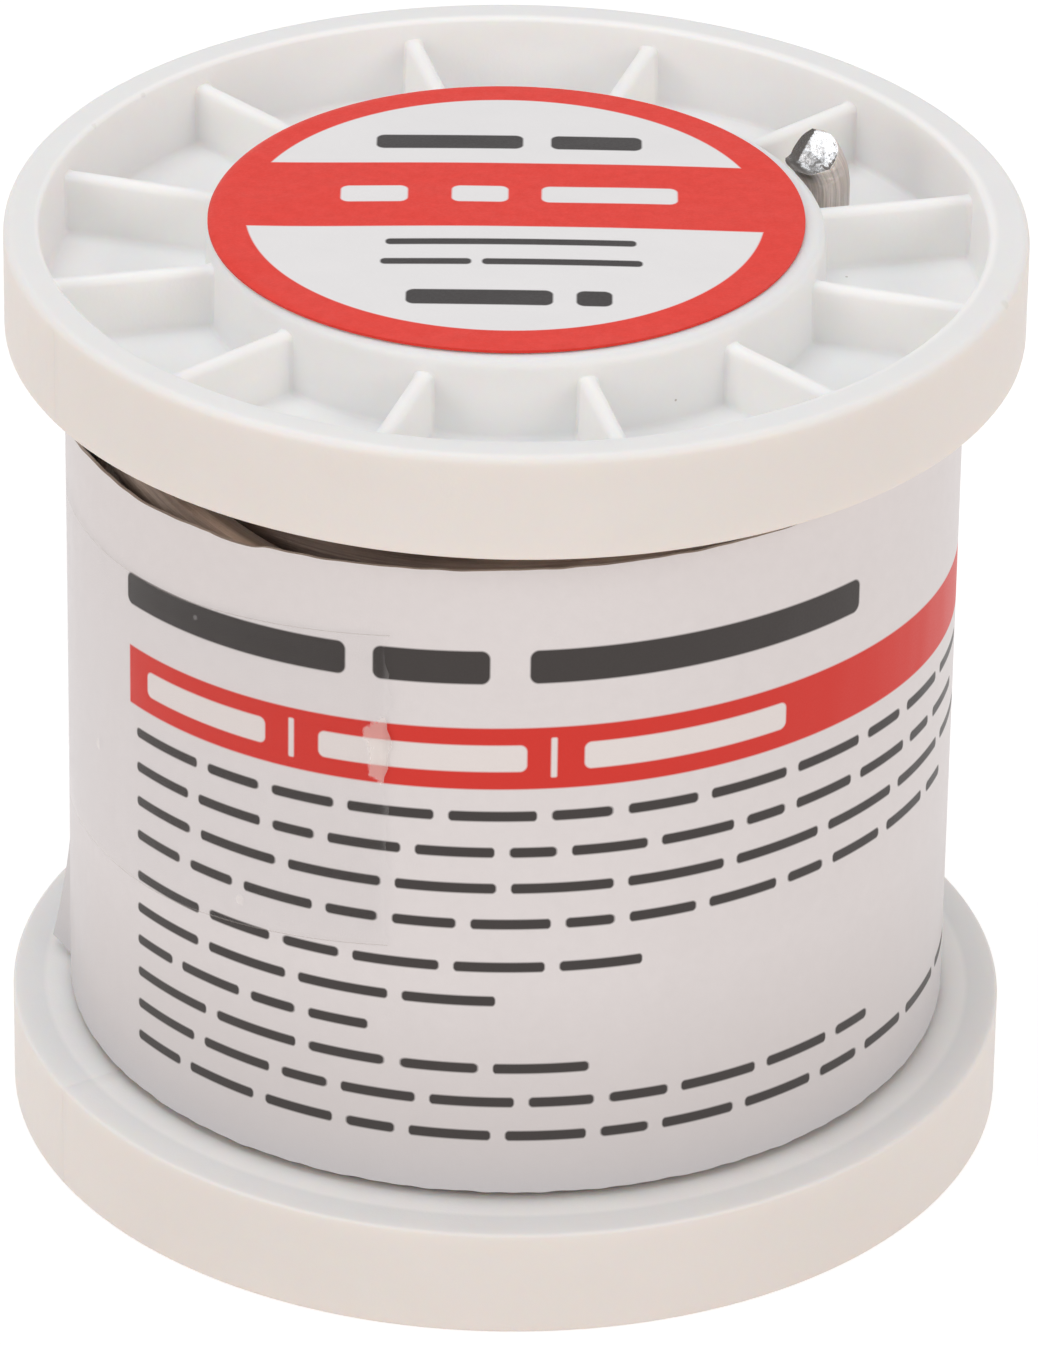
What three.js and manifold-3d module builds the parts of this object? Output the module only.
// A spool of solder wire: a reel moulded in one piece, soft 3 mm solder wound loosely on its
// drum, a paper label wrapped round the winding, clear tape over the label's free end, and a
// round paper sticker on the upper end of the hub.
// Millimetres, +Z up along the spindle, origin at the centre of the base.
import * as THREE from 'three';
import { mergeVertices } from 'three/addons/utils/BufferGeometryUtils.js';
import Module from 'manifold-3d';

const wasm = await Module();
wasm.setup();

// ---- Driving dimensions: the moulded reel ----
const reelHeight = 56;
const flangeDiameter = 58;
const flangeHeight = 6.3;
const webThickness = 1.6;
const rimWall = 2;
const hubDiameter = 35;
const boreDiameter = 30.6;
const ribCount = 12;
const ribThickness = 1;
const ribDrop = 1.1;
const firstRibAngle = 13.5;
const mouldDraft = 0.15;
const rimEdge = 0.6;
const rimInnerEdge = 0.25;
const hubEdge = 0.7;
const drumFillet = 0.5;

// ---- Driving dimensions: the solder ----
const wireDiameter = 3;
const wireHoleClearance = 0.3;
const wireHoleOffset = -1.5;
const wireToHub = 0.6;
const outerTurns = 6;
const innerLooseness = 0.6;
const windingSideGap = 0.3;
const lastTurnClimb = 3.2;
const lastTurnDrop = 0.7;
const climbStartAngle = 255;
const climbEndAngle = 180;
const windingEndAngle = -35;
const tailBendRadius = 3.5;
const tailBendAngle = 40;
const tailRise = 0.45;
const nearFaceAngle = 80;
const farFaceAngle = 86;
const ridgeOffset = 0.9;

// ---- Driving dimensions: label, tape and sticker ----
const labelThickness = 0.2;
const labelOverlap = 20;
const labelEndAngle = 185;
const labelTuckLength = 75;
const labelBottomGap = 0.9;
const labelTopGap = 4.4;
const labelTopTilt = 2.25;
const labelHighSide = -61;
const tapeWidth = 19.8;
const tapeThickness = 0.12;
const tapeStartAngle = 110;
const tapeEndAngle = 255;
const tapeRise = 3;
const tapeSlope = 0.115;
const stickerMargin = 1.2;
const stickerThickness = 0.15;
const stickerOffsetX = -0.58;
const stickerOffsetY = 0.12;

// ---- Clearances between pieces ----
const drumToWire = 0.3;
const layerGap = 0.3;
const wireToLabel = 0.2;
const paperGap = 0.1;

// ---- Facets ----
const roundSteps = 72;
const filletSteps = 2;
const ribSteps = 3;
const loopSteps = 24;
const loopSides = 6;
const tailSides = 12;
const tailSteps = 8;
const cutterSize = 12;

// ---- Worked out from the driving dimensions ----
const flangeRadius = flangeDiameter / 2;
const rimInnerRadius = flangeRadius - rimWall;
const hubRadius = hubDiameter / 2;
const boreRadius = boreDiameter / 2;
const pocketDepth = flangeHeight - webThickness;
const lowerFace = flangeHeight;
const upperFace = reelHeight - flangeHeight;
const ribPitch = 2 * Math.PI / ribCount;
const radians = THREE.MathUtils.degToRad;
const wireHoleAngle = radians(firstRibAngle + wireHoleOffset) + ribPitch / 2;
const facetAngle = 2 * Math.PI / roundSteps;
const facetSag = Math.cos(facetAngle / 2);

const wireRadius = wireDiameter / 2;
const innerTurnsInside = hubRadius + drumToWire;
const innerTurnsOutside = innerTurnsInside + wireDiameter + innerLooseness;
const loopSag = Math.cos(Math.PI / loopSteps);
const outerTurnsRadius = (innerTurnsOutside + layerGap + wireRadius) / loopSag;
const tailRadius = hubRadius + mouldDraft + wireRadius + wireToHub;

const tuckedInside = (outerTurnsRadius + wireRadius + wireToLabel) / facetSag;
const tuckDepth = labelThickness + paperGap;
const labelMiddle = tuckedInside + tuckDepth + labelThickness / 2;
const labelBottom = lowerFace + labelBottomGap;
const labelTop = upperFace - labelTopGap;
const tapeInside = labelMiddle + labelThickness / 2 + paperGap;
const tapeMiddle = (labelBottom + labelTop) / 2 + tapeRise;

// ---- Finishes ----
const reelPlastic = new THREE.MeshStandardMaterial({ color: 0xe6e5e3, roughness: 0.5, metalness: 0 });
const solderMetal = new THREE.MeshStandardMaterial({ color: 0x9b9189, roughness: 0.38, metalness: 0.9 });
const labelPaper = new THREE.MeshStandardMaterial({ color: 0xdad3d2, roughness: 0.6, metalness: 0 });
const stickerPaper = new THREE.MeshStandardMaterial({ color: 0xde4a44, roughness: 0.55, metalness: 0 });
const clearFilm = new THREE.MeshStandardMaterial({ color: 0xf0eded, roughness: 0.15, metalness: 0 });

// ---- Solids and meshes ----

// The vertices of a closed geometry merged by place, as a solid that can be joined and cut.
function toSolid(geometry) {
  const bare = geometry.clone();
  bare.deleteAttribute('normal');
  bare.deleteAttribute('uv');
  const merged = mergeVertices(bare, 1e-4);
  const corners = merged.index.array;
  const kept = [];
  for (let i = 0; i < corners.length; i += 3) {
    const [a, b, c] = corners.slice(i, i + 3);
    if (a !== b && b !== c && c !== a) kept.push(a, b, c);
  }
  const vertProperties = new Float32Array(merged.attributes.position.array);
  return new wasm.Manifold(new wasm.Mesh({ numProp: 3, vertProperties, triVerts: Uint32Array.from(kept) }));
}

function toGeometry(solid) {
  const { vertProperties, triVerts } = solid.getMesh();
  return closedGeometry(vertProperties, triVerts);
}

function closedGeometry(positions, triangles) {
  const geometry = new THREE.BufferGeometry();
  geometry.setAttribute('position', new THREE.BufferAttribute(new Float32Array(positions), 3));
  geometry.setIndex(new THREE.BufferAttribute(new Uint32Array(triangles), 1));
  geometry.computeVertexNormals();
  return geometry;
}

function named(name, geometry, material) {
  const mesh = new THREE.Mesh(geometry, material);
  mesh.name = name;
  return mesh;
}

// A closed profile of [radius, height] points turned round the Z axis.
function turned(profile) {
  const points = [...profile, profile[0]].map(([radius, height]) => new THREE.Vector2(radius, height));
  return new THREE.LatheGeometry(points, roundSteps).rotateX(Math.PI / 2);
}

// A quarter round of a profile, from one direction to the next in degrees about its centre.
function filletPoints(radius, height, size, fromDegrees, toDegrees) {
  const points = [];
  for (let i = 0; i <= filletSteps; i++) {
    const angle = radians(fromDegrees + (toDegrees - fromDegrees) * i / filletSteps);
    points.push([radius + size * Math.cos(angle), height + size * Math.sin(angle)]);
  }
  return points;
}

// A tube of flat facets through the given centres. Each section is square to the path, and its
// first corner points along the matching direction in outwards.
function sweptTube(centres, outwards, sides) {
  const positions = [];
  const last = centres.length - 1;
  centres.forEach((centre, i) => {
    const tangent = centres[Math.min(i + 1, last)].clone().sub(centres[Math.max(i - 1, 0)]).normalize();
    const across = new THREE.Vector3().crossVectors(tangent, outwards[i]).normalize();
    const out = new THREE.Vector3().crossVectors(across, tangent);
    for (let k = 0; k < sides; k++) {
      const angle = 2 * Math.PI * k / sides;
      const corner = centre.clone();
      corner.addScaledVector(out, wireRadius * Math.cos(angle));
      corner.addScaledVector(across, wireRadius * Math.sin(angle));
      positions.push(corner.x, corner.y, corner.z);
    }
  });
  const triangles = [];
  for (let i = 0; i < last; i++) {
    for (let k = 0; k < sides; k++) {
      const next = (k + 1) % sides;
      const a = i * sides + k;
      const b = i * sides + next;
      triangles.push(a, b, a + sides);
      triangles.push(b, b + sides, a + sides);
    }
  }
  for (let k = 1; k < sides - 1; k++) {
    triangles.push(0, k + 1, k);
    triangles.push(last * sides, last * sides + k, last * sides + k + 1);
  }
  return closedGeometry(positions, triangles);
}

// A strip round the Z axis: each section gives its angle, middle radius, low and high edge.
function wrappedStrip(sections, thickness) {
  const positions = [];
  for (const { angle, radius, low, high } of sections) {
    for (const [offset, height] of [[-1, low], [1, low], [1, high], [-1, high]]) {
      const reach = radius + offset * thickness / 2;
      positions.push(reach * Math.cos(angle), reach * Math.sin(angle), height);
    }
  }
  const triangles = [];
  const last = sections.length - 1;
  for (let i = 0; i < last; i++) {
    for (let k = 0; k < 4; k++) {
      const a = 4 * i + k;
      const b = 4 * i + (k + 1) % 4;
      triangles.push(a, a + 4, b);
      triangles.push(b, a + 4, b + 4);
    }
  }
  triangles.push(0, 1, 2, 0, 2, 3);
  triangles.push(4 * last, 4 * last + 2, 4 * last + 1, 4 * last, 4 * last + 3, 4 * last + 2);
  return closedGeometry(positions, triangles);
}

// ---- The reel: two flanges, the drum between them and the bore, in one moulding ----

// Half of the section through the axis. Each end face has an open channel between hub and rim,
// whose walls lean outwards by the draft of the mould.
function reelProfile() {
  const edge = flangeRadius - rimEdge;
  const innerEdge = rimInnerRadius + rimInnerEdge;
  const hub = hubRadius - hubEdge;
  const drum = hubRadius + drumFillet;
  const bore = boreRadius + hubEdge;
  const channelInside = hubRadius + mouldDraft;
  const channelOutside = rimInnerRadius - mouldDraft;
  return [
    ...filletPoints(bore, hubEdge, hubEdge, 180, 270),
    ...filletPoints(hub, hubEdge, hubEdge, 270, 360),
    [channelInside, pocketDepth],
    [channelOutside, pocketDepth],
    ...filletPoints(innerEdge, rimInnerEdge, rimInnerEdge, 180, 270),
    ...filletPoints(edge, rimEdge, rimEdge, -90, 0),
    ...filletPoints(edge, lowerFace - rimEdge, rimEdge, 0, 90),
    ...filletPoints(drum, lowerFace + drumFillet, drumFillet, 270, 180),
    ...filletPoints(drum, upperFace - drumFillet, drumFillet, 180, 90),
    ...filletPoints(edge, upperFace + rimEdge, rimEdge, -90, 0),
    ...filletPoints(edge, reelHeight - rimEdge, rimEdge, 0, 90),
    ...filletPoints(innerEdge, reelHeight - rimInnerEdge, rimInnerEdge, 90, 180),
    [channelOutside, reelHeight - pocketDepth],
    [channelInside, reelHeight - pocketDepth],
    ...filletPoints(hub, reelHeight - hubEdge, hubEdge, 0, 90),
    ...filletPoints(bore, reelHeight - hubEdge, hubEdge, 90, 180),
  ];
}

// One rib of the upper end face, along +X: a drafted plate with a round top, seated in the
// hub, the rim and the web.
function rib() {
  const seat = rimWall / 4;
  const topRadius = ribThickness / 2;
  const foot = topRadius + mouldDraft;
  const topCentre = reelHeight - ribDrop - topRadius;
  const section = new THREE.Shape();
  section.moveTo(-foot, reelHeight - pocketDepth - seat);
  section.lineTo(foot, reelHeight - pocketDepth - seat);
  section.lineTo(topRadius, topCentre);
  section.absarc(0, topCentre, topRadius, 0, Math.PI, false);
  section.closePath();
  const length = rimInnerRadius - hubRadius + 2 * seat;
  const plate = new THREE.ExtrudeGeometry(section, { depth: length, bevelEnabled: false, curveSegments: ribSteps });
  const acrossRib = new THREE.Vector3(0, 1, 0);
  const upwards = new THREE.Vector3(0, 0, 1);
  const outwards = new THREE.Vector3(1, 0, 0);
  plate.applyMatrix4(new THREE.Matrix4().makeBasis(acrossRib, upwards, outwards));
  return plate.translate(hubRadius - seat, 0, 0);
}

// The hole beside the drum through which the inner end of the wire comes up.
function wireHoleTool() {
  const radius = wireRadius + wireHoleClearance;
  const overrun = 1;
  const hole = new THREE.CylinderGeometry(radius, radius, webThickness + 2 * overrun, tailSides * 2);
  hole.rotateX(Math.PI / 2);
  hole.translate(
    tailRadius * Math.cos(wireHoleAngle),
    tailRadius * Math.sin(wireHoleAngle),
    upperFace + webThickness / 2,
  );
  return hole;
}

function reel() {
  let body = toSolid(turned(reelProfile()));
  for (let i = 0; i < ribCount; i++) {
    const angle = radians(firstRibAngle) + i * ribPitch;
    body = body.add(toSolid(rib().rotateZ(angle)));
    body = body.add(toSolid(rib().rotateX(Math.PI).translate(0, 0, reelHeight).rotateZ(angle)));
  }
  body = body.subtract(toSolid(wireHoleTool()));
  return named('spool_reel', toGeometry(body), reelPlastic);
}

// ---- The solder ----

// The inner layer of turns is a plain sleeve, and the inner end of the wire rises from it,
// through the hole in the web and past the hub, and leans over its edge. Cutters pinched it off,
// which left a wide face on the near side of a low ridge and a narrow one on the far side.
function innerTurns() {
  const low = lowerFace + windingSideGap;
  const high = upperFace - windingSideGap;
  const sleeve = toSolid(turned([
    [innerTurnsInside, low],
    [innerTurnsOutside, low],
    [innerTurnsOutside, high],
    [innerTurnsInside, high],
  ]));
  const radial = new THREE.Vector3(Math.cos(wireHoleAngle), Math.sin(wireHoleAngle), 0);
  const tangential = new THREE.Vector3(-Math.sin(wireHoleAngle), Math.cos(wireHoleAngle), 0);
  const bend = radians(tailBendAngle);
  const tipHeight = reelHeight + tailRise;
  const bendStart = tipHeight - tailBendRadius * Math.sin(bend);
  const at = (radius, height) => radial.clone().multiplyScalar(radius).setZ(height);
  const centres = [at(tailRadius, high - wireDiameter)];
  for (let i = 0; i <= tailSteps; i++) {
    const turn = bend * i / tailSteps;
    const lean = tailBendRadius * (1 - Math.cos(turn));
    centres.push(at(tailRadius - lean, bendStart + tailBendRadius * Math.sin(turn)));
  }
  const tip = centres[centres.length - 1];
  const axis = radial.clone().multiplyScalar(-Math.sin(bend)).setZ(Math.cos(bend));
  centres.push(tip.clone().addScaledVector(axis, wireDiameter));
  let wire = toSolid(sweptTube(centres, centres.map(() => tangential), tailSides));
  const ridge = tip.clone().addScaledVector(tangential, ridgeOffset);
  for (const [side, faceAngle] of [[-1, nearFaceAngle], [1, farFaceAngle]]) {
    wire = wire.subtract(toSolid(cutterFace(ridge, axis, tangential, side, faceAngle)));
  }
  return named('solder_inner_turns', toGeometry(sleeve.add(wire)), solderMetal);
}

// What one blade takes away: a block whose base holds the ridge of the tip, at the given angle
// to the wire's axis.
function cutterFace(ridge, axis, tangential, side, faceAngle) {
  const lean = radians(faceAngle);
  const normal = axis.clone().multiplyScalar(Math.sin(lean)).addScaledVector(tangential, side * Math.cos(lean));
  const block = new THREE.BoxGeometry(cutterSize, cutterSize, cutterSize).translate(0, 0, cutterSize / 2);
  block.applyQuaternion(new THREE.Quaternion().setFromUnitVectors(new THREE.Vector3(0, 0, 1), normal));
  return block.translate(ridge.x, ridge.y, ridge.z);
}

// The outer layer climbs the winding clockwise, seen from above, and rises faster where its
// last turn runs up to the upper flange, along which its end then lies level. Both ends run
// straight on for one wire diameter.
function outerTurnsPath() {
  const low = lowerFace + windingSideGap + wireRadius;
  const high = upperFace - windingSideGap - wireRadius - lastTurnDrop;
  const steps = outerTurns * loopSteps;
  const levelSteps = loopSteps * (climbEndAngle - windingEndAngle) / 360;
  const rise = (high - lastTurnClimb - low) / (steps - levelSteps);
  const centres = [];
  const outwards = [];
  for (let i = 0; i <= steps; i++) {
    const degrees = windingEndAngle + 360 * (steps - i) / loopSteps;
    const climbed = THREE.MathUtils.smoothstep(-degrees, -climbStartAngle, -climbEndAngle);
    const outward = new THREE.Vector3(Math.cos(radians(degrees)), Math.sin(radians(degrees)), 0);
    const height = low + rise * Math.min(i, steps - levelSteps) + lastTurnClimb * climbed;
    centres.push(outward.clone().multiplyScalar(outerTurnsRadius).setZ(height));
    outwards.push(outward);
  }
  const startRun = centres[0].clone().sub(centres[1]).setLength(wireDiameter).setZ(0);
  const endRun = centres[steps].clone().sub(centres[steps - 1]).setLength(wireDiameter).setZ(0);
  centres.unshift(centres[0].clone().add(startRun));
  outwards.unshift(outwards[0]);
  centres.push(centres[steps + 1].clone().add(endRun));
  outwards.push(outwards[steps + 1]);
  return { centres, outwards };
}

function outerTurnsMesh() {
  const { centres, outwards } = outerTurnsPath();
  console.log(`least gap of the outer turns to themselves: ${leastSelfGap(centres).toFixed(2)} mm`);
  return named('solder_outer_turns', sweptTube(centres, outwards, loopSides), solderMetal);
}

// The least distance between two points of the path more than half a turn apart, less a diameter.
function leastSelfGap(centres) {
  let least = Infinity;
  for (let i = 0; i < centres.length; i++) {
    for (let j = i + loopSteps / 2; j < centres.length; j++) {
      least = Math.min(least, centres[i].distanceTo(centres[j]) - wireDiameter);
    }
  }
  return least;
}

// ---- Paper and film ----

// The label starts at its free outer end, goes once round and tucks under its own start.
function wrapLabel() {
  const steps = roundSteps + Math.round(labelOverlap / (360 / roundSteps));
  const tuckEnd = 360;
  const sections = [];
  for (let i = 0; i <= steps; i++) {
    const turn = 360 * i / roundSteps;
    const angle = radians(labelEndAngle + turn);
    const tucked = THREE.MathUtils.smoothstep(turn, tuckEnd - labelTuckLength, tuckEnd);
    const high = labelTop + labelTopTilt * Math.cos(angle - radians(labelHighSide));
    sections.push({ angle, radius: labelMiddle - tuckDepth * tucked, low: labelBottom, high });
  }
  return named('wrap_label', wrappedStrip(sections, labelThickness), labelPaper);
}

// The tape crosses the label's free end and rises a little as it goes round to the front.
function clearTape() {
  const steps = Math.round((tapeEndAngle - tapeStartAngle) / (360 / roundSteps));
  const sections = [];
  for (let i = 0; i <= steps; i++) {
    const angle = radians(tapeStartAngle) + facetAngle * i;
    const along = (angle - radians(labelEndAngle)) * tapeInside;
    const middle = tapeMiddle + tapeSlope * along;
    sections.push({
      angle,
      radius: tapeInside + tapeThickness / 2,
      low: middle - tapeWidth / 2,
      high: middle + tapeWidth / 2,
    });
  }
  return named('clear_tape', wrappedStrip(sections, tapeThickness), clearFilm);
}

function hubSticker() {
  const radius = (hubDiameter - stickerMargin) / 2;
  const disc = new THREE.CylinderGeometry(radius, radius, stickerThickness, roundSteps).rotateX(Math.PI / 2);
  disc.translate(stickerOffsetX, stickerOffsetY, reelHeight + paperGap + stickerThickness / 2);
  return named('hub_sticker', disc, stickerPaper);
}

const spool = new THREE.Group();
spool.add(reel(), innerTurns(), outerTurnsMesh(), wrapLabel(), clearTape(), hubSticker());

export default spool;
